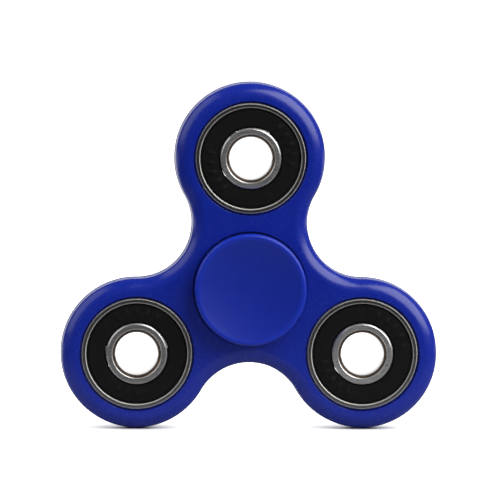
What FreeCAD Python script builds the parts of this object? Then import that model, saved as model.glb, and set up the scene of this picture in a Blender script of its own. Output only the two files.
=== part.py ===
"""Three-lobed fidget spinner: a moulded body, four 8 x 22 x 7 mm sealed ball bearings and two finger caps.

Millimetres. The origin is the centre of the middle bearing. The spinner stands upright on two lobes:
+Z is up, the spin axis is Y, and the front faces -Y. Each piece is written to parts/ as its own STEP file.
"""

import FreeCAD, Part
import math
import os

# body
ARM_LENGTH = 26.0  # middle bearing's centre to a lobe bearing's centre
LOBE_ANGLES = {"top": 90.0, "left": 210.0, "right": 330.0}
LOBE_RADIUS = 15.1
WAIST_REACH = 15.05  # from the middle to the outline, half way between two lobes
BODY_THICKNESS = 7.4
EDGE_ROUND = 2.6
SEAT_CHAMFER = 0.25

# bearings
BORE_DIAMETER = 8.0
OUTER_DIAMETER = 22.0
RING_WIDTH = 7.0
SEAT_FIT = 0.01  # gap all round between a bearing and its seat, and between a stub and its bore
BORE_ROUND = 0.7
OUTER_ROUND = 0.35
INNER_SHOULDER_DIAMETER = 12.1
INNER_CHAMFER = 0.3
OUTER_SHOULDER_DIAMETER = 18.4
BALL_COUNT = 7
BALL_DIAMETER = 3.969
BALL_CIRCLE_DIAMETER = 15.0
BALL_GAP = 0.01  # from a ball to the bottom of a groove
GROOVE_RADIUS = 0.52 * BALL_DIAMETER

# seals: each one snaps into a groove inside the outer ring, and its lip runs clear of the inner ring
SEAL_SEAT_DIAMETER = 19.9
SEAL_GROOVE_DIAMETER = 20.4
SEAL_SEAT_CHAMFER = 0.3
SEAL_INNER_FACE = 2.5  # from the bearing's middle plane
SEAL_RIM_THICKNESS = 0.35
SEAL_OUTER_FACE = 3.25
SEAL_BORE_DIAMETER = 12.3
SEAL_LIP_DIAMETER = 13.0
SEAL_STEP = 0.3  # depth of the step beside the lip and of the one beside the outer ring
SEAL_FACE_DIAMETER = 19.1
SEAL_PLAY = 0.02
GRIP_MARK_CIRCLE_DIAMETER = 16.2
GRIP_MARK_SIZE = (0.5, 0.06, 1.3)  # round the seal, out of its face, across the seal
GRIP_MARK_PITCH = 14.0  # degrees
GRIP_MARK_ROWS = ((20.0, 5), (200.0, 5))  # middle of a row in degrees, and its marks

# cage: two pressed ribbons that meet between the balls and are riveted there
CAGE_SHEET = 0.3
CAGE_INNER_DIAMETER = 13.1
CAGE_OUTER_DIAMETER = 16.9
POCKET_GAP = 0.07
RIVET_DIAMETER = 0.6
RIVET_HEAD_DIAMETER = 1.1
RIVET_HEAD_HEIGHT = 0.22
RIVET_GAP = 0.01

# finger caps
CAP_DIAMETER = 22.3
CAP_THICKNESS = 3.0
CAP_STANDOFF = 0.7  # from the body's face to the underside of a cap
CAP_RIM_ROUND = 0.6
CAP_BACK_ROUND = 0.25
CAP_DISH_DIAMETER = 20.6
CAP_DISH_DEPTH = 0.9
BOSS_DIAMETER = 10.6
STUB_END = 0.1  # from the middle plane to the end of each stub
PIN_DIAMETER = 4.2
PIN_REACH = 4.2  # past the middle plane, into the other cap's socket
SOCKET_DEPTH = 4.5

ORIGIN = FreeCAD.Vector(0, 0, 0)
SPIN_AXIS = FreeCAD.Vector(0, 1, 0)
UP = FreeCAD.Vector(0, 0, 1)
HALF_BODY = BODY_THICKNESS / 2
HALF_RING = RING_WIDTH / 2
BALL_CIRCLE = BALL_CIRCLE_DIAMETER / 2
BALL_ANGLES = [90.0 + 360.0 * k / BALL_COUNT for k in range(BALL_COUNT)]


def around(radius, degrees, y=0.0):
    """A point at this distance from the spin axis and this angle from +X towards +Z."""
    angle = math.radians(degrees)
    return FreeCAD.Vector(radius * math.cos(angle), y, radius * math.sin(angle))


def turned(start, *steps):
    """The solid swept by a closed profile about the spin axis.

    Points are (radius, y). A step is the next point, or a pair: a point on an arc, then the arc's end.
    """
    here = FreeCAD.Vector(*start, 0)
    edges = []
    for step in (*steps, start):
        if isinstance(step[0], tuple):
            via, end = (FreeCAD.Vector(*p, 0) for p in step)
            edges.append(Part.Arc(here, via, end).toShape())
        else:
            end = FreeCAD.Vector(*step, 0)
            if end.isEqual(here, 1e-9):
                continue
            edges.append(Part.LineSegment(here, end).toShape())
        here = end
    return Part.Face(Part.Wire(edges)).revolve(ORIGIN, SPIN_AXIS, 360)


def rounding(centre, radius, middle_degrees, end_degrees):
    """A step of turned(): an arc about a centre (radius, y), through one angle to another."""
    points = []
    for degrees in (middle_degrees, end_degrees):
        angle = math.radians(degrees)
        points.append((centre[0] + radius * math.cos(angle), centre[1] + radius * math.sin(angle)))
    return tuple(points)


def tube(inner, outer, low, high):
    return turned((inner, low), (outer, low), (outer, high), (inner, high))


def crown_radius(half_width, rise):
    """The radius of a shallow arc that rises this much over this half width."""
    return (half_width**2 + rise**2) / (2 * rise)


def crown_drop(radius, reach):
    """How far such an arc falls from its crown at this distance from its middle."""
    return radius - math.sqrt(radius**2 - reach**2)


def facing_back(shape):
    """The same piece turned half round about the vertical, so that what faced front faces back."""
    other = shape.copy()
    other.rotate(ORIGIN, UP, 180)
    return other


def body_outline():
    """Three round lobes joined by hollow waists, all arcs meeting in line."""
    waist_radius = (ARM_LENGTH**2 + WAIST_REACH**2 - ARM_LENGTH * WAIST_REACH - LOBE_RADIUS**2) / (
        2 * LOBE_RADIUS - 2 * WAIST_REACH + ARM_LENGTH
    )
    edges = []
    for degrees in LOBE_ANGLES.values():
        lobe = around(ARM_LENGTH, degrees)
        tip = around(ARM_LENGTH + LOBE_RADIUS, degrees)
        before, after = (around(WAIST_REACH + waist_radius, degrees + turn) for turn in (-60, 60))
        start, end = (lobe + (w - lobe).normalize() * LOBE_RADIUS for w in (before, after))
        next_lobe = around(ARM_LENGTH, degrees + 120)
        next_start = next_lobe + (after - next_lobe).normalize() * LOBE_RADIUS
        edges.append(Part.Arc(start, tip, end).toShape())
        edges.append(Part.Arc(end, around(WAIST_REACH, degrees + 60), next_start).toShape())
    return Part.Wire(edges)


def bearing_seat():
    """What is cut from the body for one bearing: a bore with a small chamfer at each face."""
    seat = OUTER_DIAMETER / 2 + SEAT_FIT
    mouth = seat + SEAT_CHAMFER
    return turned(
        (0, -HALF_BODY - 1),
        (mouth, -HALF_BODY - 1),
        (mouth, -HALF_BODY),
        (seat, -HALF_BODY + SEAT_CHAMFER),
        (seat, HALF_BODY - SEAT_CHAMFER),
        (mouth, HALF_BODY),
        (mouth, HALF_BODY + 1),
        (0, HALF_BODY + 1),
    )


def make_body(places):
    plate = Part.Face(body_outline()).extrude(FreeCAD.Vector(0, BODY_THICKNESS, 0))
    plate.translate(FreeCAD.Vector(0, -HALF_BODY, 0))
    rims = [e for e in plate.Edges if e.BoundBox.YLength < 0.001]
    body = plate.makeFillet(EDGE_ROUND, rims)
    seats = []
    for place in places.values():
        seat = bearing_seat()
        seat.translate(place)
        seats.append(seat)
    return body.cut(seats)


def make_outer_ring():
    """The ring that the body holds. It is built from the front face to the back one, round the section."""
    outside = OUTER_DIAMETER / 2
    seat = SEAL_SEAT_DIAMETER / 2
    groove = SEAL_GROOVE_DIAMETER / 2
    land = OUTER_SHOULDER_DIAMETER / 2
    raceway_bottom = BALL_CIRCLE + BALL_DIAMETER / 2 + BALL_GAP
    raceway_edge = math.sqrt(GROOVE_RADIUS**2 - (land - raceway_bottom + GROOVE_RADIUS) ** 2)
    lip = SEAL_INNER_FACE + SEAL_RIM_THICKNESS
    corner = outside - OUTER_ROUND
    return turned(
        (outside, -HALF_RING + OUTER_ROUND),
        (outside, HALF_RING - OUTER_ROUND),
        rounding((corner, HALF_RING - OUTER_ROUND), OUTER_ROUND, 45, 90),
        (seat + SEAL_SEAT_CHAMFER, HALF_RING),
        (seat, HALF_RING - SEAL_SEAT_CHAMFER),
        (seat, lip),
        (groove, lip),
        (groove, SEAL_INNER_FACE),
        (land, SEAL_INNER_FACE),
        (land, raceway_edge),
        ((raceway_bottom, 0), (land, -raceway_edge)),
        (land, -SEAL_INNER_FACE),
        (groove, -SEAL_INNER_FACE),
        (groove, -lip),
        (seat, -lip),
        (seat, -HALF_RING + SEAL_SEAT_CHAMFER),
        (seat + SEAL_SEAT_CHAMFER, -HALF_RING),
        (corner, -HALF_RING),
        rounding((corner, -HALF_RING + OUTER_ROUND), OUTER_ROUND, -45, 0),
    )


def make_inner_ring():
    bore = BORE_DIAMETER / 2
    shoulder = INNER_SHOULDER_DIAMETER / 2
    raceway_bottom = BALL_CIRCLE - BALL_DIAMETER / 2 - BALL_GAP
    raceway_edge = math.sqrt(GROOVE_RADIUS**2 - (raceway_bottom + GROOVE_RADIUS - shoulder) ** 2)
    return turned(
        (bore, -HALF_RING + BORE_ROUND),
        rounding((bore + BORE_ROUND, -HALF_RING + BORE_ROUND), BORE_ROUND, 225, 270),
        (shoulder - INNER_CHAMFER, -HALF_RING),
        (shoulder, -HALF_RING + INNER_CHAMFER),
        (shoulder, -raceway_edge),
        ((raceway_bottom, 0), (shoulder, raceway_edge)),
        (shoulder, HALF_RING - INNER_CHAMFER),
        (shoulder - INNER_CHAMFER, HALF_RING),
        (bore + BORE_ROUND, HALF_RING),
        rounding((bore + BORE_ROUND, HALF_RING - BORE_ROUND), BORE_ROUND, 135, 180),
    )


def make_front_seal():
    """A disc with a snap-in rim, a step at each edge of its face, and two rows of plain raised bars."""
    back = -SEAL_INNER_FACE - SEAL_PLAY
    rim = -SEAL_INNER_FACE - SEAL_RIM_THICKNESS + SEAL_PLAY
    step = -SEAL_OUTER_FACE + SEAL_STEP
    seal = turned(
        (SEAL_BORE_DIAMETER / 2, back),
        (SEAL_GROOVE_DIAMETER / 2 - SEAL_PLAY, back),
        (SEAL_GROOVE_DIAMETER / 2 - SEAL_PLAY, rim),
        (SEAL_SEAT_DIAMETER / 2 - SEAL_PLAY, rim),
        (SEAL_SEAT_DIAMETER / 2 - SEAL_PLAY, step),
        (SEAL_FACE_DIAMETER / 2 + SEAL_STEP / 2, step),
        (SEAL_FACE_DIAMETER / 2, -SEAL_OUTER_FACE),
        (SEAL_LIP_DIAMETER / 2, -SEAL_OUTER_FACE),
        (SEAL_LIP_DIAMETER / 2 - SEAL_STEP / 2, step),
        (SEAL_BORE_DIAMETER / 2, step),
    )
    return seal.fuse(grip_marks()).removeSplitter()


def grip_marks():
    """The raised bars. Each is sunk into the seal's face as far as it stands out of it."""
    wide, proud, tall = GRIP_MARK_SIZE
    marks = []
    for middle, count in GRIP_MARK_ROWS:
        for k in range(count):
            degrees = middle + (k - (count - 1) / 2) * GRIP_MARK_PITCH
            corner = FreeCAD.Vector(GRIP_MARK_CIRCLE_DIAMETER / 2 - tall / 2, 0, -wide / 2)
            bar = Part.makeBox(tall, 2 * proud, wide, corner)
            bar.translate(FreeCAD.Vector(0, -SEAL_OUTER_FACE - proud, 0))
            bar.rotate(ORIGIN, SPIN_AXIS, -degrees)
            marks.append(bar)
    return marks


def make_front_cage():
    """Half of the cage: a flat ribbon bulged over the front of each ball."""
    inner = CAGE_INNER_DIAMETER / 2
    outer = CAGE_OUTER_DIAMETER / 2
    pocket = BALL_DIAMETER / 2 + POCKET_GAP
    front_zone = tube(inner, outer, -RING_WIDTH, 0)
    bulges = []
    pockets = []
    for degrees in BALL_ANGLES:
        centre = around(BALL_CIRCLE, degrees)
        bulges.append(Part.makeSphere(pocket + CAGE_SHEET, centre).common(front_zone))
        pockets.append(Part.makeSphere(pocket, centre))
    ribbon = tube(inner, outer, -CAGE_SHEET, 0).fuse(bulges)
    return ribbon.cut(pockets + rivet_bodies(RIVET_DIAMETER / 2 + RIVET_GAP, RING_WIDTH))


def rivet_bodies(radius, length):
    """Round bars along the spin axis, one between each pair of balls."""
    bars = []
    for degrees in BALL_ANGLES:
        start = around(BALL_CIRCLE, degrees + 180.0 / BALL_COUNT, -length / 2)
        bars.append(Part.makeCylinder(radius, length, start, SPIN_AXIS))
    return bars


def make_cage_rivets():
    """Seven separate rivets, each with a low domed head on both faces of the cage."""
    shank = RIVET_DIAMETER / 2
    head = RIVET_HEAD_DIAMETER / 2
    top = CAGE_SHEET + RIVET_HEAD_HEIGHT
    half_way = head / 2
    half_way_up = top - crown_drop(crown_radius(head, RIVET_HEAD_HEIGHT), half_way)
    rivet = turned(
        (0, -top),
        ((half_way, -half_way_up), (head, -CAGE_SHEET)),
        (shank, -CAGE_SHEET),
        (shank, CAGE_SHEET),
        (head, CAGE_SHEET),
        ((half_way, half_way_up), (0, top)),
    )
    rivets = []
    for degrees in BALL_ANGLES:
        one = rivet.copy()
        one.translate(around(BALL_CIRCLE, degrees + 180.0 / BALL_COUNT))
        rivets.append(one)
    return Part.makeCompound(rivets)


def cap_section():
    """Heights of a cap above the middle plane: the bearing's face, the cap's underside and its rim."""
    underside = HALF_BODY + CAP_STANDOFF
    return HALF_RING, underside, underside + CAP_THICKNESS


def make_front_cap():
    """A dished disc on a boss and a stub. The stub has a socket for the other cap's pin."""
    seat, underside, rim = cap_section()
    return turned(
        (0, -STUB_END - SOCKET_DEPTH),
        (PIN_DIAMETER / 2, -STUB_END - SOCKET_DEPTH),
        (PIN_DIAMETER / 2, -STUB_END),
        *cap_steps(seat, underside, rim, -1),
    )


def make_rear_cap():
    """The same disc, boss and stub, with a pin that reaches into the front cap's socket."""
    seat, underside, rim = cap_section()
    pin = PIN_DIAMETER / 2 - SEAT_FIT
    return turned(
        (0, -PIN_REACH),
        (pin, -PIN_REACH),
        (pin, STUB_END),
        *cap_steps(seat, underside, rim, 1),
    )


def cap_steps(seat, underside, rim, side):
    """A cap's section from the end of its stub round to the middle of its dish. side is 1 at the back."""
    stub = BORE_DIAMETER / 2 - SEAT_FIT
    outside = CAP_DIAMETER / 2
    dish = CAP_DISH_DIAMETER / 2
    bottom = rim - CAP_DISH_DEPTH
    half_way_up = bottom + crown_drop(crown_radius(dish, CAP_DISH_DEPTH), dish / 2)
    steps = [
        (stub, STUB_END),
        (stub, seat),
        (BOSS_DIAMETER / 2, seat),
        (BOSS_DIAMETER / 2, underside),
        (outside - CAP_BACK_ROUND, underside),
        rounding((outside - CAP_BACK_ROUND, underside + CAP_BACK_ROUND), CAP_BACK_ROUND, -45, 0),
        (outside, rim - CAP_RIM_ROUND),
        rounding((outside - CAP_RIM_ROUND, rim - CAP_RIM_ROUND), CAP_RIM_ROUND, 45, 90),
        (dish, rim),
        ((dish / 2, half_way_up), (0, bottom)),
    ]
    return [facing(step, side) for step in steps]


def facing(step, side):
    """A step of turned() as it is, or mirrored to the front."""
    if isinstance(step[0], tuple):
        return tuple(facing(point, side) for point in step)
    return (step[0], step[1] * side)


def bearing_pieces():
    """One bearing about the origin: the name and shape of each piece."""
    front_seal = make_front_seal()
    front_cage = make_front_cage()
    pieces = {
        "outer_ring": make_outer_ring(),
        "inner_ring": make_inner_ring(),
        "front_seal": front_seal,
        "rear_seal": facing_back(front_seal),
        "front_cage": front_cage,
        "rear_cage": facing_back(front_cage),
        "cage_rivets": make_cage_rivets(),
    }
    for k, degrees in enumerate(BALL_ANGLES, start=1):
        pieces[f"ball_{k}"] = Part.makeSphere(BALL_DIAMETER / 2, around(BALL_CIRCLE, degrees))
    return pieces


def main():
    os.makedirs("parts", exist_ok=True)
    places = {"centre": ORIGIN}
    for lobe, degrees in LOBE_ANGLES.items():
        places[lobe] = around(ARM_LENGTH, degrees)
    nodes = {"body": make_body(places), "front_cap": make_front_cap(), "rear_cap": make_rear_cap()}
    pieces = bearing_pieces()
    for where, place in places.items():
        for piece, shape in pieces.items():
            placed = shape.copy()
            placed.translate(place)
            nodes[f"{where}_{piece}"] = placed
    for node, shape in nodes.items():
        shape.exportStep(f"parts/{node}.step")


main()
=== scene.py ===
import math

import bmesh
import bpy
from mathutils import Matrix, Vector


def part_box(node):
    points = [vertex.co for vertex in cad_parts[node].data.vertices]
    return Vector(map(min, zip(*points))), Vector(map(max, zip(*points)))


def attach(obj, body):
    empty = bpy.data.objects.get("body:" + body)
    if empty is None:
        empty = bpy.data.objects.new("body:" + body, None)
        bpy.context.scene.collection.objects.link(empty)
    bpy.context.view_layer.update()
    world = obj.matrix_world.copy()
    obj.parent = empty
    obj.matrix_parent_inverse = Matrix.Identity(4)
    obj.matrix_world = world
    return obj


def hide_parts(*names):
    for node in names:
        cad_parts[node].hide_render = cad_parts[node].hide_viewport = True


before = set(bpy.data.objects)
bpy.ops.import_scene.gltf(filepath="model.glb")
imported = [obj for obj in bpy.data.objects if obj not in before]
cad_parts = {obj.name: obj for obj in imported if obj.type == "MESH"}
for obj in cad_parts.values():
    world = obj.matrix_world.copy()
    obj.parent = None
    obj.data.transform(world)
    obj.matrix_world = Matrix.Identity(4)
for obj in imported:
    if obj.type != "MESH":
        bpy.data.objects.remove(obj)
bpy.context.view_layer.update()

MM = 0.001
LOBES = ("top", "left", "right")
BEARINGS = ("centre",) + LOBES

# the body, in millimetres
WAIST_REACH = 15.05
EDGE_ROUND = 2.9
EDGE_END = math.radians(72)
EDGE_STEPS = 14
LOBE_STEPS = 150
WAIST_STEPS = 70
SEAT_CLEARANCE = 0.01
SEAT_MOUTH = 0.42
SEAT_STEP = 1.4
SEAT_BREAK = 0.05
DRAFT = 0.14
FLASH_HEIGHT = 0.07
FLASH_HALF_WIDTH = 0.06

# bearings, with millimetres counted from a bearing's axis and from the middle of its width
TURN_STEPS = 240
CORNER_STEPS = 5
BORE_RADIUS = 4.0
OUTER_LAND = 9.2
SEAL_SHELF = 2.5
SEAL_SEAT = 2.85
OUTER_CHAMFER = 0.18
SEAL_FACE = 3.25
SEAL_TURN_STEPS = 360
GROOVE_CURVE = 0.52  # of a ball's diameter
GROOVE_CLEARANCE = 0.03
GROOVE_STEPS = 12

# the raised bars on a seal's face, in millimetres and degrees
BAR_INNER = 7.46
BAR_OUTER = 8.74
BAR_SLOPE = 0.02
BAR_HEIGHT = 0.06
BAR_HALF_WIDTH = 2
BAR_PITCH = 14
BARS_IN_A_ROW = 5
ROW_MIDDLES = (20, 200)

# the finger caps, in millimetres
CAP_RIM_ROUND = 0.6
CAP_BACK_ROUND = 0.25
CAP_GAP = 0.7
DISH_RADIUS = 10.3
DISH_DEPTH = 1.25
DISH_STEPS = 24
STUB_RADIUS = 3.99
STUB_FLANGE = 5.3
SOCKET_RADIUS = 2.1
SOCKET_DEPTH = 4.6
PIN_RADIUS = 2.09
PIN_REACH = 4.2
STUB_GAP = 0.1
NOTCH_ANGLES = (325, 331)
NOTCH_DEPTH = 0.1


def middle(node):
    """The middle of a CAD node's box, in millimetres."""
    low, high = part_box(node)
    return (low + high) / 2 / MM


def size(node):
    low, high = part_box(node)
    return (high - low) / MM


SPOTS = {where: middle(f"{where}_outer_ring") for where in BEARINGS}
ARM_LENGTH = (SPOTS["top"] - SPOTS["centre"]).length
HALF_BODY = size("body").y / 2
LOBE_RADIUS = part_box("body")[1].z / MM - SPOTS["top"].z
RING_RADIUS = size("top_outer_ring").x / 2
HALF_RING = size("top_outer_ring").y / 2
SHOULDER = size("top_inner_ring").x / 2
SEAL_RADIUS = size("top_front_seal").x / 2
CAP_RADIUS = size("front_cap").x / 2
CAP_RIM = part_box("rear_cap")[1].y / MM
BALL_RADIUS = size("top_ball_1").y / 2
PITCH_RADIUS = (middle("top_ball_1") - SPOTS["top"]).length


# ---------------------------------------------------------------- mesh tools


def arc(centre, radius, start, end, steps):
    """Points on an arc about a centre, from one angle to another in degrees, both ends included."""
    points = []
    for k in range(steps + 1):
        angle = math.radians(start + (end - start) * k / steps)
        points.append((centre[0] + radius * math.cos(angle), centre[1] + radius * math.sin(angle)))
    return points


def rounded(corners, steps=CORNER_STEPS):
    """A closed section from its corners (radius, y, rounding), each rounding drawn as an arc."""
    section = []
    count = len(corners)
    for k, (x, y, rounding) in enumerate(corners):
        here = Vector((x, y))
        if rounding == 0:
            section.append((x, y))
            continue
        before = (Vector(corners[k - 1][:2]) - here).normalized()
        after = (Vector(corners[(k + 1) % count][:2]) - here).normalized()
        half = before.angle(after) / 2
        reach = rounding / math.tan(half)
        start = here + before * reach
        end = here + after * reach
        centre = here + (before + after).normalized() * rounding / math.sin(half)
        for j in range(steps + 1):
            a = (start - centre).lerp(end - centre, 0.5 - 0.5 * math.cos(math.pi * j / steps))
            point = centre + a.normalized() * rounding
            section.append((point.x, point.y))
    return section


def finished(name, bm, body, slot, material, *nodes):
    """Turns a bmesh in millimetres into a shaded piece that rides on a body and stands for CAD nodes."""
    bmesh.ops.remove_doubles(bm, verts=bm.verts, dist=1e-4)
    bmesh.ops.recalc_face_normals(bm, faces=bm.faces)
    bmesh.ops.scale(bm, vec=(MM, MM, MM), verts=bm.verts)
    mesh = bpy.data.meshes.new(name)
    bm.to_mesh(mesh)
    bm.free()
    mesh.polygons.foreach_set("use_smooth", [True] * len(mesh.polygons))
    mesh.set_sharp_from_angle(angle=math.radians(40))
    mesh.materials.append(material)
    piece = bpy.data.objects.new(name, mesh)
    bpy.context.scene.collection.objects.link(piece)
    weigh = piece.modifiers.new("shading", "WEIGHTED_NORMAL")
    weigh.keep_sharp = True
    weigh.weight = 80
    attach(piece, body)
    if nodes:
        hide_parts(*nodes)
    return piece


def lathe(section, spot, steps=TURN_STEPS, closed=True, change=None):
    """A bmesh swept by a section of (radius, y) round the line through spot along Y.

    change(radius, y, degrees) may move a point, and returns its new (radius, y).
    """
    bm = bmesh.new()
    rings = []
    for radius, y in section:
        ring = []
        for k in range(steps if radius > 1e-6 else 1):
            degrees = 360 * k / steps
            r, h = change(radius, y, degrees) if change else (radius, y)
            turn = math.radians(degrees)
            ring.append(bm.verts.new((spot.x + r * math.cos(turn), h, spot.z + r * math.sin(turn))))
        rings.append(ring)
    followers = rings[1:] + (rings[:1] if closed else [])
    for low, high in zip(rings, followers):
        for k in range(steps):
            ends = [low[k % len(low)], low[(k + 1) % len(low)]]
            ends += [high[(k + 1) % len(high)], high[k % len(high)]]
            corners = list(dict.fromkeys(ends))
            if len(corners) > 2:
                bm.faces.new(corners)
    return bm


def within(degrees, low, high):
    """How far inside a range of angles this one is, in degrees, negative when outside."""
    centre, half = (low + high) / 2, (high - low) / 2
    away = abs((degrees - centre + 180) % 360 - 180)
    return half - away


# ---------------------------------------------------------------- materials


class Look:
    """A node material in the making."""

    def __init__(self, name):
        self.material = bpy.data.materials.new(name)
        self.material.use_nodes = True
        self.nodes = self.material.node_tree.nodes
        self.links = self.material.node_tree.links
        self.nodes.clear()
        self.place = self.add("ShaderNodeTexCoord").outputs["Object"]

    def add(self, kind, settings=None, **sockets):
        node = self.nodes.new(kind)
        for name, value in (settings or {}).items():
            setattr(node, name, value)
        for name, value in sockets.items():
            self.put(node, name.replace("_", " "), value)
        return node

    def put(self, node, socket, value):
        if isinstance(value, bpy.types.NodeSocket):
            self.links.new(value, node.inputs[socket])
        else:
            node.inputs[socket].default_value = value

    def maths(self, operation, *values, clamp=False):
        node = self.add("ShaderNodeMath", {"operation": operation, "use_clamp": clamp})
        for k, value in enumerate(values):
            self.put(node, k, value)
        return node.outputs[0]

    def noise(self, scale, detail=2.0, place=None, roughness=0.5):
        node = self.add("ShaderNodeTexNoise", Scale=scale, Detail=detail, Roughness=roughness)
        self.put(node, "Vector", place or self.place)
        return node.outputs["Fac"]

    def spread(self, value, low, high, to_low, to_high):
        """Maps a value from one range to another, held at both ends."""
        node = self.add("ShaderNodeMapRange", {"clamp": True})
        for k, number in enumerate((value, low, high, to_low, to_high)):
            self.put(node, k, number)
        return node.outputs[0]

    def mix(self, share, first, second):
        node = self.add("ShaderNodeMix", {"data_type": "RGBA"})
        self.put(node, 0, share)
        self.put(node, 6, first)
        self.put(node, 7, second)
        return node.outputs[2]

    def bumps(self, *layers):
        """Layers of (height, strength, distance in metres), one on top of the other."""
        normal = None
        for height, strength, distance in layers:
            node = self.add("ShaderNodeBump", Strength=strength, Distance=distance, Height=height)
            if normal:
                self.put(node, "Normal", normal)
            normal = node.outputs["Normal"]
        return normal

    def finish(self, **sockets):
        shader = self.add("ShaderNodeBsdfPrincipled", None, **sockets)
        out = self.add("ShaderNodeOutputMaterial")
        self.links.new(shader.outputs[0], out.inputs["Surface"])
        return self.material


def grey(value):
    return (value, value, value, 1)


def spin_radius(look, spot):
    """Distance in metres from the line through spot along Y."""
    away = look.add("ShaderNodeVectorMath", {"operation": "SUBTRACT"})
    look.put(away, 0, look.place)
    look.put(away, 1, tuple(spot * MM))
    flat = look.add("ShaderNodeVectorMath", {"operation": "MULTIPLY"})
    look.put(flat, 0, away.outputs[0])
    look.put(flat, 1, (1, 0, 1))
    radius = look.add("ShaderNodeVectorMath", {"operation": "LENGTH"})
    look.put(radius, 0, flat.outputs[0])
    return radius.outputs["Value"]


# how much lighter a cap's blue is painted past its thin rim: a painted glow for light coming through the
# rim
RIM_PAINTED_GLOW = 1.28
RIM_BLEND = 0.0003
DUST_COLOUR = (0.35, 0.42, 0.75, 1)
DUST_RADIUS = 0.04
DUST_RARITY = 0.84
DUST_STRENGTH = 0.11


def plastic_look(name, deep, light, roughness, grain, gloss=0.5, thin_rim=None):
    """Moulded plastic: a faint cloudiness, dust specks, and a surface a little less than mirror smooth.

    Light comes through a thin rim, so past the radius in metres where one starts the blue is painted
    lighter: a painted glow of that light.
    """
    look = Look(name)
    cloud = look.spread(look.noise(160, 3), 0.3, 0.7, 0, 1)
    colour = look.mix(cloud, deep, light)
    if thin_rim:
        radius = spin_radius(look, SPOTS["centre"])
        # painted glow: past thin_rim the blue is painted lighter, standing in for light coming through the
        # thin rim
        rim = look.spread(radius, thin_rim - RIM_BLEND, thin_rim + RIM_BLEND, 0, 1)
        colour = look.mix(rim, colour, tuple(RIM_PAINTED_GLOW * c for c in light[:3]) + (1,))
    dots = look.add("ShaderNodeTexVoronoi", {"feature": "F1"}, Scale=420, Randomness=1)
    look.put(dots, "Vector", look.place)
    near = look.maths("LESS_THAN", dots.outputs["Distance"], DUST_RADIUS)
    few = look.maths("GREATER_THAN", look.noise(500, 0), DUST_RARITY)
    dust = look.maths("MULTIPLY", near, few)
    dusted = look.mix(look.maths("MULTIPLY", dust, DUST_STRENGTH), colour, DUST_COLOUR)
    rough = look.spread(look.noise(900, 4), 0.25, 0.75, roughness - 0.04, roughness + 0.05)
    normal = look.bumps(
        (look.noise(260, 0), 0.02, 0.0001),
        (look.noise(grain, 2), 0.04, 0.00001),
    )
    return look.finish(
        Base_Color=dusted,
        Roughness=rough,
        Normal=normal,
        Specular_IOR_Level=gloss,
    )


def grain_place(look, degrees, along, across):
    """Coordinates squeezed across a direction in the face, so that noise on them draws grinding lines."""
    node = look.add("ShaderNodeMapping", {"vector_type": "POINT"})
    look.put(node, "Vector", look.place)
    look.put(node, "Rotation", (0, math.radians(degrees), 0))
    look.put(node, "Scale", (along, 1, across))
    return node.outputs[0]


# how squarely a surface faces front or back where an edge ends and where a face starts
EDGE_TO_FACE = (0.90, 0.99)

# where the zones round a bore fade into each other, in metres from the bearing's axis
BORE_EDGE_END = (0.0051, 0.0052)
STAIN_END = (0.00480, 0.00487)
STAIN_START = (0.00428, 0.0044)
POLISH_END = (0.00432, 0.0045)

STAIN = (0.13, 0.095, 0.07, 1)
POLISHED = (0.92, 0.91, 0.90, 1)
POLISHED_ROUGH = 0.08
BLEMISH = (0.30, 0.27, 0.24, 1)


def steel_look(name, spot, degrees, tone, edge_highlight_tone, face_rough, edge_rough, bore=False):
    """Ground bearing steel with darker ruled faces and turned edges painted lighter: a painted highlight.

    bore is True for an inner ring: its bore is polished, its mouth browned, and the edge round that painted
    lighter as a painted highlight.
    """
    look = Look(name)
    lines = look.noise(1.0, 4, grain_place(look, degrees, 160, 3200), 0.6)
    cross = look.noise(1.0, 2, grain_place(look, degrees + 24, 220, 5200), 0.6)
    blemishes = look.noise(900, 3)
    ruled = look.spread(lines, 0.3, 0.7, 0, 1)
    colour = look.mix(ruled, tuple(0.6 * c for c in tone) + (1,), tone + (1,))
    normal_parts = look.add("ShaderNodeSeparateXYZ")
    look.put(normal_parts, 0, look.add("ShaderNodeNewGeometry").outputs["Normal"])
    facing = look.maths("ABSOLUTE", normal_parts.outputs["Y"])
    # painted highlight: the edges, which face neither front nor back, are painted the lighter edge tone
    edge = edge_highlight_tone + (1,)
    if bore:
        radius = spin_radius(look, spot)
        # painted highlight: the edge round the bore's mouth is painted lighter still
        edge = look.mix(look.spread(radius, *BORE_EDGE_END, 1, 0), edge, BORE_EDGE_HIGHLIGHT + (1,))
    colour = look.mix(look.spread(facing, *EDGE_TO_FACE, 1, 0), colour, edge)
    colour = look.mix(look.spread(blemishes, 0.55, 0.85, 0, 0.3), colour, BLEMISH)
    ruled_rough = look.spread(lines, 0.25, 0.75, face_rough - 0.05, face_rough + 0.05)
    rough = look.spread(facing, *EDGE_TO_FACE, edge_rough, ruled_rough)
    if bore:
        brown = look.mix(look.spread(radius, *STAIN_START, 0, 1), POLISHED, STAIN)
        colour = look.mix(look.spread(radius, *STAIN_END, 1, 0), colour, brown)
        rough = look.spread(radius, *POLISH_END, POLISHED_ROUGH, rough)
    normal = look.bumps((lines, 0.30, 0.00001), (cross, 0.16, 0.000006))
    return look.finish(Base_Color=colour, Metallic=1.0, Roughness=rough, Normal=normal)


def rubber_look(name):
    """Black moulded nitrile rubber, dry and slightly dusty."""
    look = Look(name)
    dust = look.spread(look.noise(650, 5), 0.45, 0.75, 0, 1)
    colour = look.mix(dust, (0.0020, 0.0020, 0.0025, 1), (0.0042, 0.0042, 0.0050, 1))
    rough = look.spread(look.noise(1500, 3), 0.3, 0.7, 0.52, 0.66)
    normal = look.bumps((look.noise(5200, 3), 0.18, 0.00002), (look.noise(500, 2), 0.1, 0.00005))
    return look.finish(Base_Color=colour, Roughness=rough, Normal=normal, Specular_IOR_Level=0.19)


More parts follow.
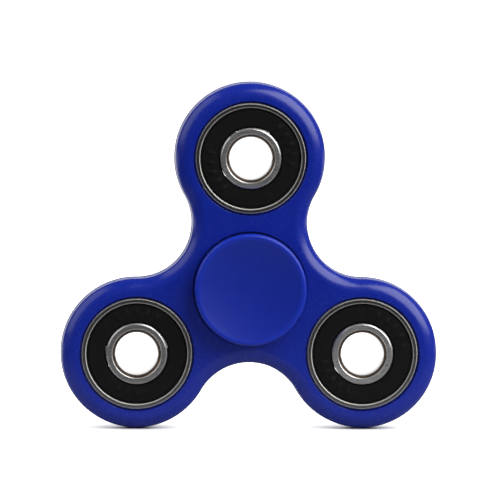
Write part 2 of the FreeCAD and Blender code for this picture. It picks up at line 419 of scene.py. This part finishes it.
def ball_look(name):
    """Polished steel with faint scuffs."""
    look = Look(name)
    scuffs = look.noise(2600, 4)
    rough = look.spread(scuffs, 0.4, 0.75, 0.05, 0.16)
    colour = look.mix(look.spread(scuffs, 0.3, 0.8, 0, 1), (0.66, 0.66, 0.67, 1), (0.50, 0.50, 0.51, 1))
    normal = look.bumps((scuffs, 0.05, 0.00001))
    return look.finish(Base_Color=colour, Metallic=1.0, Roughness=rough, Normal=normal)


def pressed_look(name):
    """Drawn sheet steel, as a cage is pressed from."""
    look = Look(name)
    drawn = look.noise(1.0, 3, grain_place(look, 35, 500, 3000))
    colour = look.mix(drawn, (0.42, 0.40, 0.36, 1), (0.60, 0.57, 0.52, 1))
    rough = look.spread(drawn, 0.3, 0.7, 0.28, 0.45)
    normal = look.bumps((drawn, 0.15, 0.00001))
    return look.finish(Base_Color=colour, Metallic=1.0, Roughness=rough, Normal=normal)


BODY_LOOK = plastic_look(
    "moulded_body_plastic", (0.0022, 0.0178, 0.330, 1), (0.0024, 0.0194, 0.348, 1),
    roughness=0.25, grain=5200,
)
CAP_LOOK = plastic_look(
    "moulded_cap_plastic", (0.0022, 0.0190, 0.343, 1), (0.0024, 0.0208, 0.362, 1),
    roughness=0.37, grain=6000, gloss=0.42, thin_rim=0.0100,
)
RUBBER_LOOK = rubber_look("moulded_seal_rubber")
BALL_LOOK = ball_look("polished_ball_steel")
CAGE_LOOK = pressed_look("pressed_cage_steel")
# the outer rings' faces are painted a darker steel than the inner rings': painted shade
RING_SHADED_TONE = (0.25, 0.246, 0.246)
# lighter steel painted on the outer rings' edges: a painted highlight
RING_EDGE_HIGHLIGHT = (0.70, 0.68, 0.65)
# each inner ring's face is painted its own grey for how light falls on it in that bearing: painted light
# and shade
INNER_LIT_TONES = {
    "top": (0.81, 0.81, 0.815),
    "left": (0.48, 0.48, 0.485),
    "right": (0.73, 0.73, 0.735),
}
# painted highlight on the inner rings' edges and round their bores
INNER_EDGE_HIGHLIGHT = (0.64, 0.63, 0.62)
BORE_EDGE_HIGHLIGHT = (0.74, 0.73, 0.71)
RING_ROUGH = {"face_rough": 0.23, "edge_rough": 0.74}
INNER_ROUGH = {"face_rough": 0.30, "edge_rough": 0.38}
GRAIN_ANGLES = {"centre": 20, "top": 48, "left": 62, "right": 35}
INNER_GRAIN_TURN = 70


# ---------------------------------------------------------------- body


def outline(inset):
    """The body's outline moved inward, as (x, z), anticlockwise seen from the front."""
    waist_radius = (ARM_LENGTH**2 + WAIST_REACH**2 - ARM_LENGTH * WAIST_REACH - LOBE_RADIUS**2) / (
        2 * LOBE_RADIUS - 2 * WAIST_REACH + ARM_LENGTH
    )
    reach = WAIST_REACH + waist_radius
    lean = math.degrees(math.asin(reach * math.sin(math.radians(60)) / (waist_radius + LOBE_RADIUS)))
    points = []
    for turn in (90, 210, 330):
        lobe = arc((0, 0), ARM_LENGTH, turn, turn, 1)[0]
        waist = arc((0, 0), reach, turn + 60, turn + 60, 1)[0]
        away = 180 - lean
        points += arc(lobe, LOBE_RADIUS - inset, turn - away, turn + away, LOBE_STEPS)[:-1]
        facing = turn + away - 180
        sweep = 2 * (facing - turn - 60 + 180)
        points += arc(waist, waist_radius + inset, facing, facing - sweep, WAIST_STEPS)[:-1]
    return points


def wall_section():
    """The body's edge from the front face to the back one, as (inset, y).

    The front rounding runs into a wall that the mould's draft lets grow towards the back. There a thin
    line of flash stands at the parting line, and the back rounding follows.
    """
    roundings = []
    for wall in (FLASH_HEIGHT + DRAFT, FLASH_HEIGHT):
        turns = [EDGE_END * k / EDGE_STEPS for k in range(EDGE_STEPS + 1)]
        insets = [wall + EDGE_ROUND * (math.sin(EDGE_END) - math.sin(a)) for a in turns]
        heights = [HALF_BODY - EDGE_ROUND * (1 - math.cos(a)) for a in turns]
        roundings.append(list(zip(insets, heights)))
    front, back = roundings
    parting = back[-1][1]
    flash = [(FLASH_HEIGHT, parting - 2 * FLASH_HALF_WIDTH), (0.0, parting - FLASH_HALF_WIDTH)]
    return [(inset, -y) for inset, y in front] + flash + back[::-1]


def seat_section():
    """A bearing seat's wall, as (radius, y), with a shallow step at each mouth."""
    seat = RING_RADIUS + SEAT_CLEARANCE
    mouth = RING_RADIUS + SEAT_MOUTH
    shelf = HALF_BODY - SEAT_STEP
    front = [(mouth + SEAT_BREAK, -HALF_BODY), (mouth, -HALF_BODY + SEAT_BREAK)]
    front += [(mouth, -shelf), (seat, -shelf)]
    return front + [(radius, -y) for radius, y in reversed(front)]


def joined(bm, loops):
    """Faces between each loop of vertices and the next."""
    for low, high in zip(loops, loops[1:]):
        count = len(low)
        for k in range(count):
            bm.faces.new((low[k], low[(k + 1) % count], high[(k + 1) % count], high[k]))


def rim_edges(bm, loop):
    """The edges round a loop of vertices."""
    return [bm.edges.get((loop[k - 1], loop[k])) for k in range(len(loop))]


def make_body():
    bm = bmesh.new()
    walls = [[bm.verts.new((x, y, z)) for x, z in outline(inset)] for inset, y in wall_section()]
    joined(bm, walls)
    groups = [walls]
    for spot in SPOTS.values():
        loops = []
        for radius, y in seat_section():
            turn = arc((spot.x, spot.z), radius, 0, 360, TURN_STEPS)[:-1]
            loops.append([bm.verts.new((x, y, z)) for x, z in turn])
        joined(bm, loops)
        groups.append(loops)
    for end in (0, -1):
        edges = [edge for loops in groups for edge in rim_edges(bm, loops[end])]
        bmesh.ops.triangle_fill(bm, use_beauty=True, use_dissolve=False, edges=edges)
    return finished("spinner_body", bm, "frame", "body_plastic", BODY_LOOK, "body")


make_body()


# ---------------------------------------------------------------- bearings


def raceway(shoulder, side):
    """The ball's groove across a ring, from front to back, as (radius, y). side is 1 in the outer ring."""
    curve = GROOVE_CURVE * 2 * BALL_RADIUS
    depth_line = PITCH_RADIUS + side * (BALL_RADIUS + GROOVE_CLEARANCE)
    centre = depth_line - side * curve
    edge = math.degrees(math.acos(abs(shoulder - centre) / curve))
    points = arc((centre, 0), curve, -edge, edge, GROOVE_STEPS)
    return [(centre + side * (r - centre), y) for r, y in points]


def ring_section(front, shoulder, side):
    """A whole ring's section: its front corners, its groove, and the same corners behind."""
    groove = [(r, y, 0) for r, y in raceway(shoulder, side)]
    back = [(r, -y, rounding) for r, y, rounding in reversed(front)]
    return rounded(front + groove + back)


def outer_ring_section():
    seat, groove = 10.09, 10.2
    front = [
        (RING_RADIUS, -HALF_RING, 0.24),
        (seat + OUTER_CHAMFER, -HALF_RING, 0.04),
        (seat, -HALF_RING + OUTER_CHAMFER, 0.04),
        (seat, -SEAL_SEAT, 0),
        (groove, -SEAL_SEAT, 0),
        (groove, -SEAL_SHELF, 0),
        (OUTER_LAND, -SEAL_SHELF, 0.04),
    ]
    return ring_section(front, OUTER_LAND, 1)


def inner_ring_section():
    """From the bore: a slow flare, its mouth, the bore's chamfer, the face and the outer chamfer."""
    front = [
        (BORE_RADIUS, -0.1, 0),
        (4.265, -2.65, 0),
        (4.28, -2.78, 0),
        (4.80, -3.33, 0),
        (4.98, -HALF_RING, 0.08),
        (SHOULDER - 0.28, -HALF_RING, 0.04),
        (SHOULDER, -HALF_RING + 0.24, 0.05),
        (SHOULDER, -2.95, 0),
    ]
    return ring_section(front, SHOULDER, -1)


def seal_section(side):
    """A seal from its inner lip, whose face has steps for the bars' ends. side is -1 in front."""
    inner, lip, face, rim = 6.15, 6.5, 9.55, 9.93
    underside, bead = 2.52, 2.83
    corners = [
        (inner, underside, 0),
        (SEAL_RADIUS, underside, 0),
        (SEAL_RADIUS, bead, 0),
        (rim, bead, 0),
        (rim, 2.95, 0.03),
        (9.7, 2.95, 0.03),
        (face, SEAL_FACE, 0.08),
    ]
    for end in (BAR_OUTER, BAR_INNER):
        corners += [(end + BAR_SLOPE, SEAL_FACE, 0), (end - BAR_SLOPE, SEAL_FACE, 0)]
    corners += [(lip, SEAL_FACE, 0.1), (6.35, 2.97, 0.04), (inner, 2.97, 0.04)]
    return [(r, side * y) for r, y in rounded(corners, 4)]


def bars(side, turn):
    """Two rows of plain raised bars on a seal's face."""
    first = -BAR_PITCH * (BARS_IN_A_ROW - 1) / 2
    centres = [row + turn + first + k * BAR_PITCH for row in ROW_MIDDLES for k in range(BARS_IN_A_ROW)]

    def change(radius, y, degrees):
        if BAR_INNER < radius < BAR_OUTER and abs(y) > SEAL_FACE - 0.001:
            if any(within(degrees, c - BAR_HALF_WIDTH, c + BAR_HALF_WIDTH) > 0 for c in centres):
                return radius, y + side * BAR_HEIGHT
        return radius, y

    return change


SLIVER_FRONT = -3.4

# slivers on an inner ring's edge: the angles where each is blunt and where it has faded, and its height
SLIVERS = {
    "top": ((54, 88, 0.32), (32, 4, 0.10), (118, 134, 0.07), (216, 232, 0.12)),
    "left": ((166, 187, 0.34), (11, 41, 0.32)),
    "right": ((45, 62, 0.12), (215, 205, 0.06)),
}


def burr(where):
    """Thin slivers of steel that grinding left on the edge of an inner ring."""

    def change(radius, y, degrees):
        if y < -3.0 and radius > SHOULDER - 0.1:
            for blunt, faded, height in SLIVERS[where]:
                share = (degrees - blunt) / (faded - blunt)
                if 0 <= share < 1:
                    return radius + height * (1 - share), SLIVER_FRONT
        return radius, y

    return change


SEAL_TURNS = {"top": 0, "left": 70, "right": 20}

for where in LOBES:
    spot = SPOTS[where]
    ring_look = steel_look(
        f"{where}_ring_steel", spot, GRAIN_ANGLES[where], RING_SHADED_TONE, RING_EDGE_HIGHLIGHT, **RING_ROUGH,
    )
    # each inner ring gets its lobe's painted grey, standing in for light and shade
    inner_look = steel_look(
        f"{where}_inner_steel", spot, GRAIN_ANGLES[where] + INNER_GRAIN_TURN,
        INNER_LIT_TONES[where], INNER_EDGE_HIGHLIGHT, **INNER_ROUGH, bore=True,
    )
    finished(
        f"{where}_outer_race", lathe(outer_ring_section(), spot),
        "frame", "bearing_steel", ring_look, f"{where}_outer_ring",
    )
    finished(
        f"{where}_inner_race", lathe(inner_ring_section(), spot, change=burr(where)),
        f"{where}_ring", "bearing_steel", inner_look, f"{where}_inner_ring",
    )
    for side, facing in ((-1, "front"), (1, "rear")):
        finished(
            f"{where}_{facing}_shield",
            lathe(seal_section(side), spot, SEAL_TURN_STEPS, change=bars(side, SEAL_TURNS[where] * -side)),
            "frame", "seal_rubber", RUBBER_LOOK, f"{where}_{facing}_seal",
        )


# ---------------------------------------------------------------- caps


def cap_section(side):
    """A cap from the end of its stub to the middle of its dished face. side is -1 in front.

    The front cap's stub is a socket, and the rear cap's has a pin that fits it.
    """
    underside = HALF_BODY + CAP_GAP
    curve = (DISH_RADIUS**2 + DISH_DEPTH**2) / (2 * DISH_DEPTH)
    floor = CAP_RIM - DISH_DEPTH
    if side < 0:
        end = [(0, SOCKET_DEPTH, 0), (SOCKET_RADIUS, SOCKET_DEPTH, 0), (SOCKET_RADIUS, STUB_GAP, 0)]
    else:
        end = [(0, -PIN_REACH, 0), (PIN_RADIUS, -PIN_REACH, 0), (PIN_RADIUS, STUB_GAP, 0)]
    stub = [(STUB_RADIUS, STUB_GAP, 0), (STUB_RADIUS, HALF_RING, 0)]
    stub += [(STUB_FLANGE, HALF_RING, 0), (STUB_FLANGE, underside, 0)]
    rim = [(CAP_RADIUS, underside, CAP_BACK_ROUND), (CAP_RADIUS, CAP_RIM, CAP_RIM_ROUND)]
    dish = [(DISH_RADIUS, CAP_RIM, 0.12)]
    for k in range(1, DISH_STEPS):
        r = DISH_RADIUS * (1 - k / DISH_STEPS)
        dish.append((r, floor + curve - math.sqrt(curve**2 - r**2), 0))
    dish.append((0, floor, 0))
    section = rounded(end + stub + rim + dish, 7)
    return [(max(r, 0), side * y) for r, y in section]


def gate_notch(radius, y, degrees):
    """A small notch in a cap's rim, such as a cut-off gate leaves."""
    at_rim = radius > CAP_RADIUS - 0.35 and abs(y) > CAP_RIM - 0.8
    if at_rim and within(degrees, *NOTCH_ANGLES) > 0:
        return radius - NOTCH_DEPTH, y
    return radius, y


for side, facing in ((-1, "front"), (1, "rear")):
    finished(
        f"{facing}_finger_cap", lathe(cap_section(side), SPOTS["centre"], closed=False, change=gate_notch),
        "hub", "cap_plastic", CAP_LOOK, f"{facing}_cap",
    )


# ---------------------------------------------------------------- the CAD nodes that stay

CENTRE_STEEL = steel_look(
    "centre_ring_steel", SPOTS["centre"], GRAIN_ANGLES["centre"], RING_SHADED_TONE, RING_EDGE_HIGHLIGHT, **RING_ROUGH,
)
for name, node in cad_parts.items():
    look = None
    if "ball" in name:
        look = BALL_LOOK
    elif "cage" in name:
        look = CAGE_LOOK
    elif name in ("centre_outer_ring", "centre_inner_ring"):
        look = CENTRE_STEEL
    elif name.endswith("_seal"):
        look = RUBBER_LOOK
    if look:
        for slot in node.material_slots:
            slot.link = "OBJECT"
            slot.material = look


# ---------------------------------------------------------------- stage, light and camera


# ranges in metres from where a lobe stands, from the object's middle, and behind the object
SHADOW_ZONE = (0.002, 0.011)
GLOW_ZONE = (0.04, 0.16)
MIRROR_ZONE = (0.05, 0.16)
BEHIND_ZONE = (0.04, 0.14)
FLOOR_CORNERS = ((-8, -8), (8, -8), (8, 9), (-8, 9))


def make_floor():
    """Pale paper that glows towards white away from the object.

    In reflections it is a dull grey, and white behind the object.
    """
    bm = bmesh.new()
    for x, y in FLOOR_CORNERS:
        bm.verts.new((x, y, 0))
    bm.faces.new(bm.verts)
    mesh = bpy.data.meshes.new("floor")
    bm.to_mesh(mesh)
    bm.free()
    floor = bpy.data.objects.new("floor", mesh)
    floor.location = (0, 0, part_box("body")[0].z)
    bpy.context.scene.collection.objects.link(floor)
    look = Look("paper_floor")
    tone = look.mix(look.noise(3, 2), grey(0.88), grey(0.92))
    seen = look.add("ShaderNodeLightPath").outputs["Is Camera Ray"]
    away = look.add("ShaderNodeVectorMath", {"operation": "LENGTH"})
    look.put(away, 0, look.place)
    parts = look.add("ShaderNodeSeparateXYZ")
    look.put(parts, 0, look.place)
    lobe_side = SPOTS["right"].x * MM
    sideways = look.maths("SUBTRACT", look.maths("ABSOLUTE", parts.outputs["X"]), lobe_side)
    from_contact = look.add("ShaderNodeCombineXYZ", X=sideways, Y=parts.outputs["Y"])
    contact = look.add("ShaderNodeVectorMath", {"operation": "LENGTH"})
    look.put(contact, 0, from_contact.outputs[0])
    glow = look.maths(
        "ADD",
        look.spread(contact.outputs["Value"], *SHADOW_ZONE, 0.0, 0.72),
        look.spread(away.outputs["Value"], *GLOW_ZONE, 0, 0.3),
    )
    far = look.spread(away.outputs["Value"], *MIRROR_ZONE, 0, 1)
    mirrored = look.mix(far, grey(0.42), grey(0.07))
    behind = look.spread(parts.outputs["Y"], *BEHIND_ZONE, 0, 0.95)
    mesh.materials.append(look.finish(
        Base_Color=look.mix(seen, mirrored, tone),
        Roughness=0.9,
        Specular_IOR_Level=0.1,
        Emission_Color=grey(1),
        Emission_Strength=look.maths("MAXIMUM", look.maths("MULTIPLY", glow, seen), behind),
    ))


make_floor()


def direction(azimuth, elevation):
    """Unit vector from the object to a camera at these angles."""
    a, e = math.radians(azimuth), math.radians(elevation)
    return Vector((math.sin(a) * math.cos(e), -math.cos(a) * math.cos(e), math.sin(e)))


FRONT_WORLD, BACK_WORLD, SEEN_WORLD = 0.145, 1.0, 1.1
WORLD_FADE = (0.92, 0.975)


def make_world():
    """A room that is white behind the object and dim elsewhere. The camera itself sees white all round."""
    world = bpy.data.worlds.new("studio")
    world.use_nodes = True
    nodes, links = world.node_tree.nodes, world.node_tree.links
    nodes.clear()
    place = nodes.new("ShaderNodeTexCoord")
    split = nodes.new("ShaderNodeSeparateXYZ")
    links.new(place.outputs["Generated"], split.inputs[0])
    fade = nodes.new("ShaderNodeMapRange")
    fade.interpolation_type = "SMOOTHSTEP"
    links.new(split.outputs["Y"], fade.inputs[0])
    for k, number in enumerate((*WORLD_FADE, FRONT_WORLD, BACK_WORLD), start=1):
        fade.inputs[k].default_value = number
    path = nodes.new("ShaderNodeLightPath")
    pick = nodes.new("ShaderNodeMix")
    pick.data_type = "FLOAT"
    links.new(path.outputs["Is Camera Ray"], pick.inputs[0])
    links.new(fade.outputs[0], pick.inputs[2])
    pick.inputs[3].default_value = SEEN_WORLD
    back = nodes.new("ShaderNodeBackground")
    back.inputs["Color"].default_value = grey(1)
    links.new(pick.outputs[0], back.inputs["Strength"])
    out = nodes.new("ShaderNodeOutputWorld")
    links.new(back.outputs[0], out.inputs["Surface"])
    bpy.context.scene.world = world


make_world()


LIGHT_DISTANCE = 0.9


def softbox(name, azimuth, elevation, width, watts, gloss=True):
    """A square light that faces the object. Without gloss it isn't seen in reflections."""
    lamp = bpy.data.lights.new(name, "AREA")
    lamp.shape = "RECTANGLE"
    lamp.size = lamp.size_y = width
    lamp.energy = watts
    box = bpy.data.objects.new(name, lamp)
    towards = direction(azimuth, elevation)
    box.location = towards * LIGHT_DISTANCE
    box.rotation_mode = "QUATERNION"
    box.rotation_quaternion = towards.to_track_quat("Z", "Y")
    box.visible_camera = False
    box.visible_glossy = gloss
    bpy.context.scene.collection.objects.link(box)


softbox("key", 56.5, 40, width=0.95, watts=11.0)
softbox("side", -87, 38, width=0.85, watts=2.6)
softbox("fill", -72, 5, width=1.0, watts=2.2, gloss=False)
softbox("back", 165, 30, width=1.0, watts=2.5, gloss=False)


CAMERA_DISTANCE = 1.5
VIEW_WIDTH = 0.0997606
CAMERA_AZIMUTH, CAMERA_ELEVATION = -2.8, 4.0
CAMERA_ROLL = math.radians(0.33)
CAMERA_AIM = Vector((0.0001, 0, 0.00753))


def make_camera():
    """A long lens in front of the object, a little above it and slightly rolled."""
    camera = bpy.data.cameras.new("camera")
    camera.sensor_width = 36
    camera.lens = CAMERA_DISTANCE / VIEW_WIDTH * camera.sensor_width
    camera.clip_start, camera.clip_end = 0.05, 20
    eye = bpy.data.objects.new("camera", camera)
    back = direction(CAMERA_AZIMUTH, CAMERA_ELEVATION)
    eye.location = CAMERA_AIM + back * CAMERA_DISTANCE
    eye.rotation_mode = "QUATERNION"
    roll = Matrix.Rotation(CAMERA_ROLL, 3, "Z").to_quaternion()
    eye.rotation_quaternion = (-back).to_track_quat("-Z", "Y") @ roll
    bpy.context.scene.collection.objects.link(eye)
    bpy.context.scene.camera = eye


make_camera()
bpy.context.scene.view_settings.view_transform = "Standard"
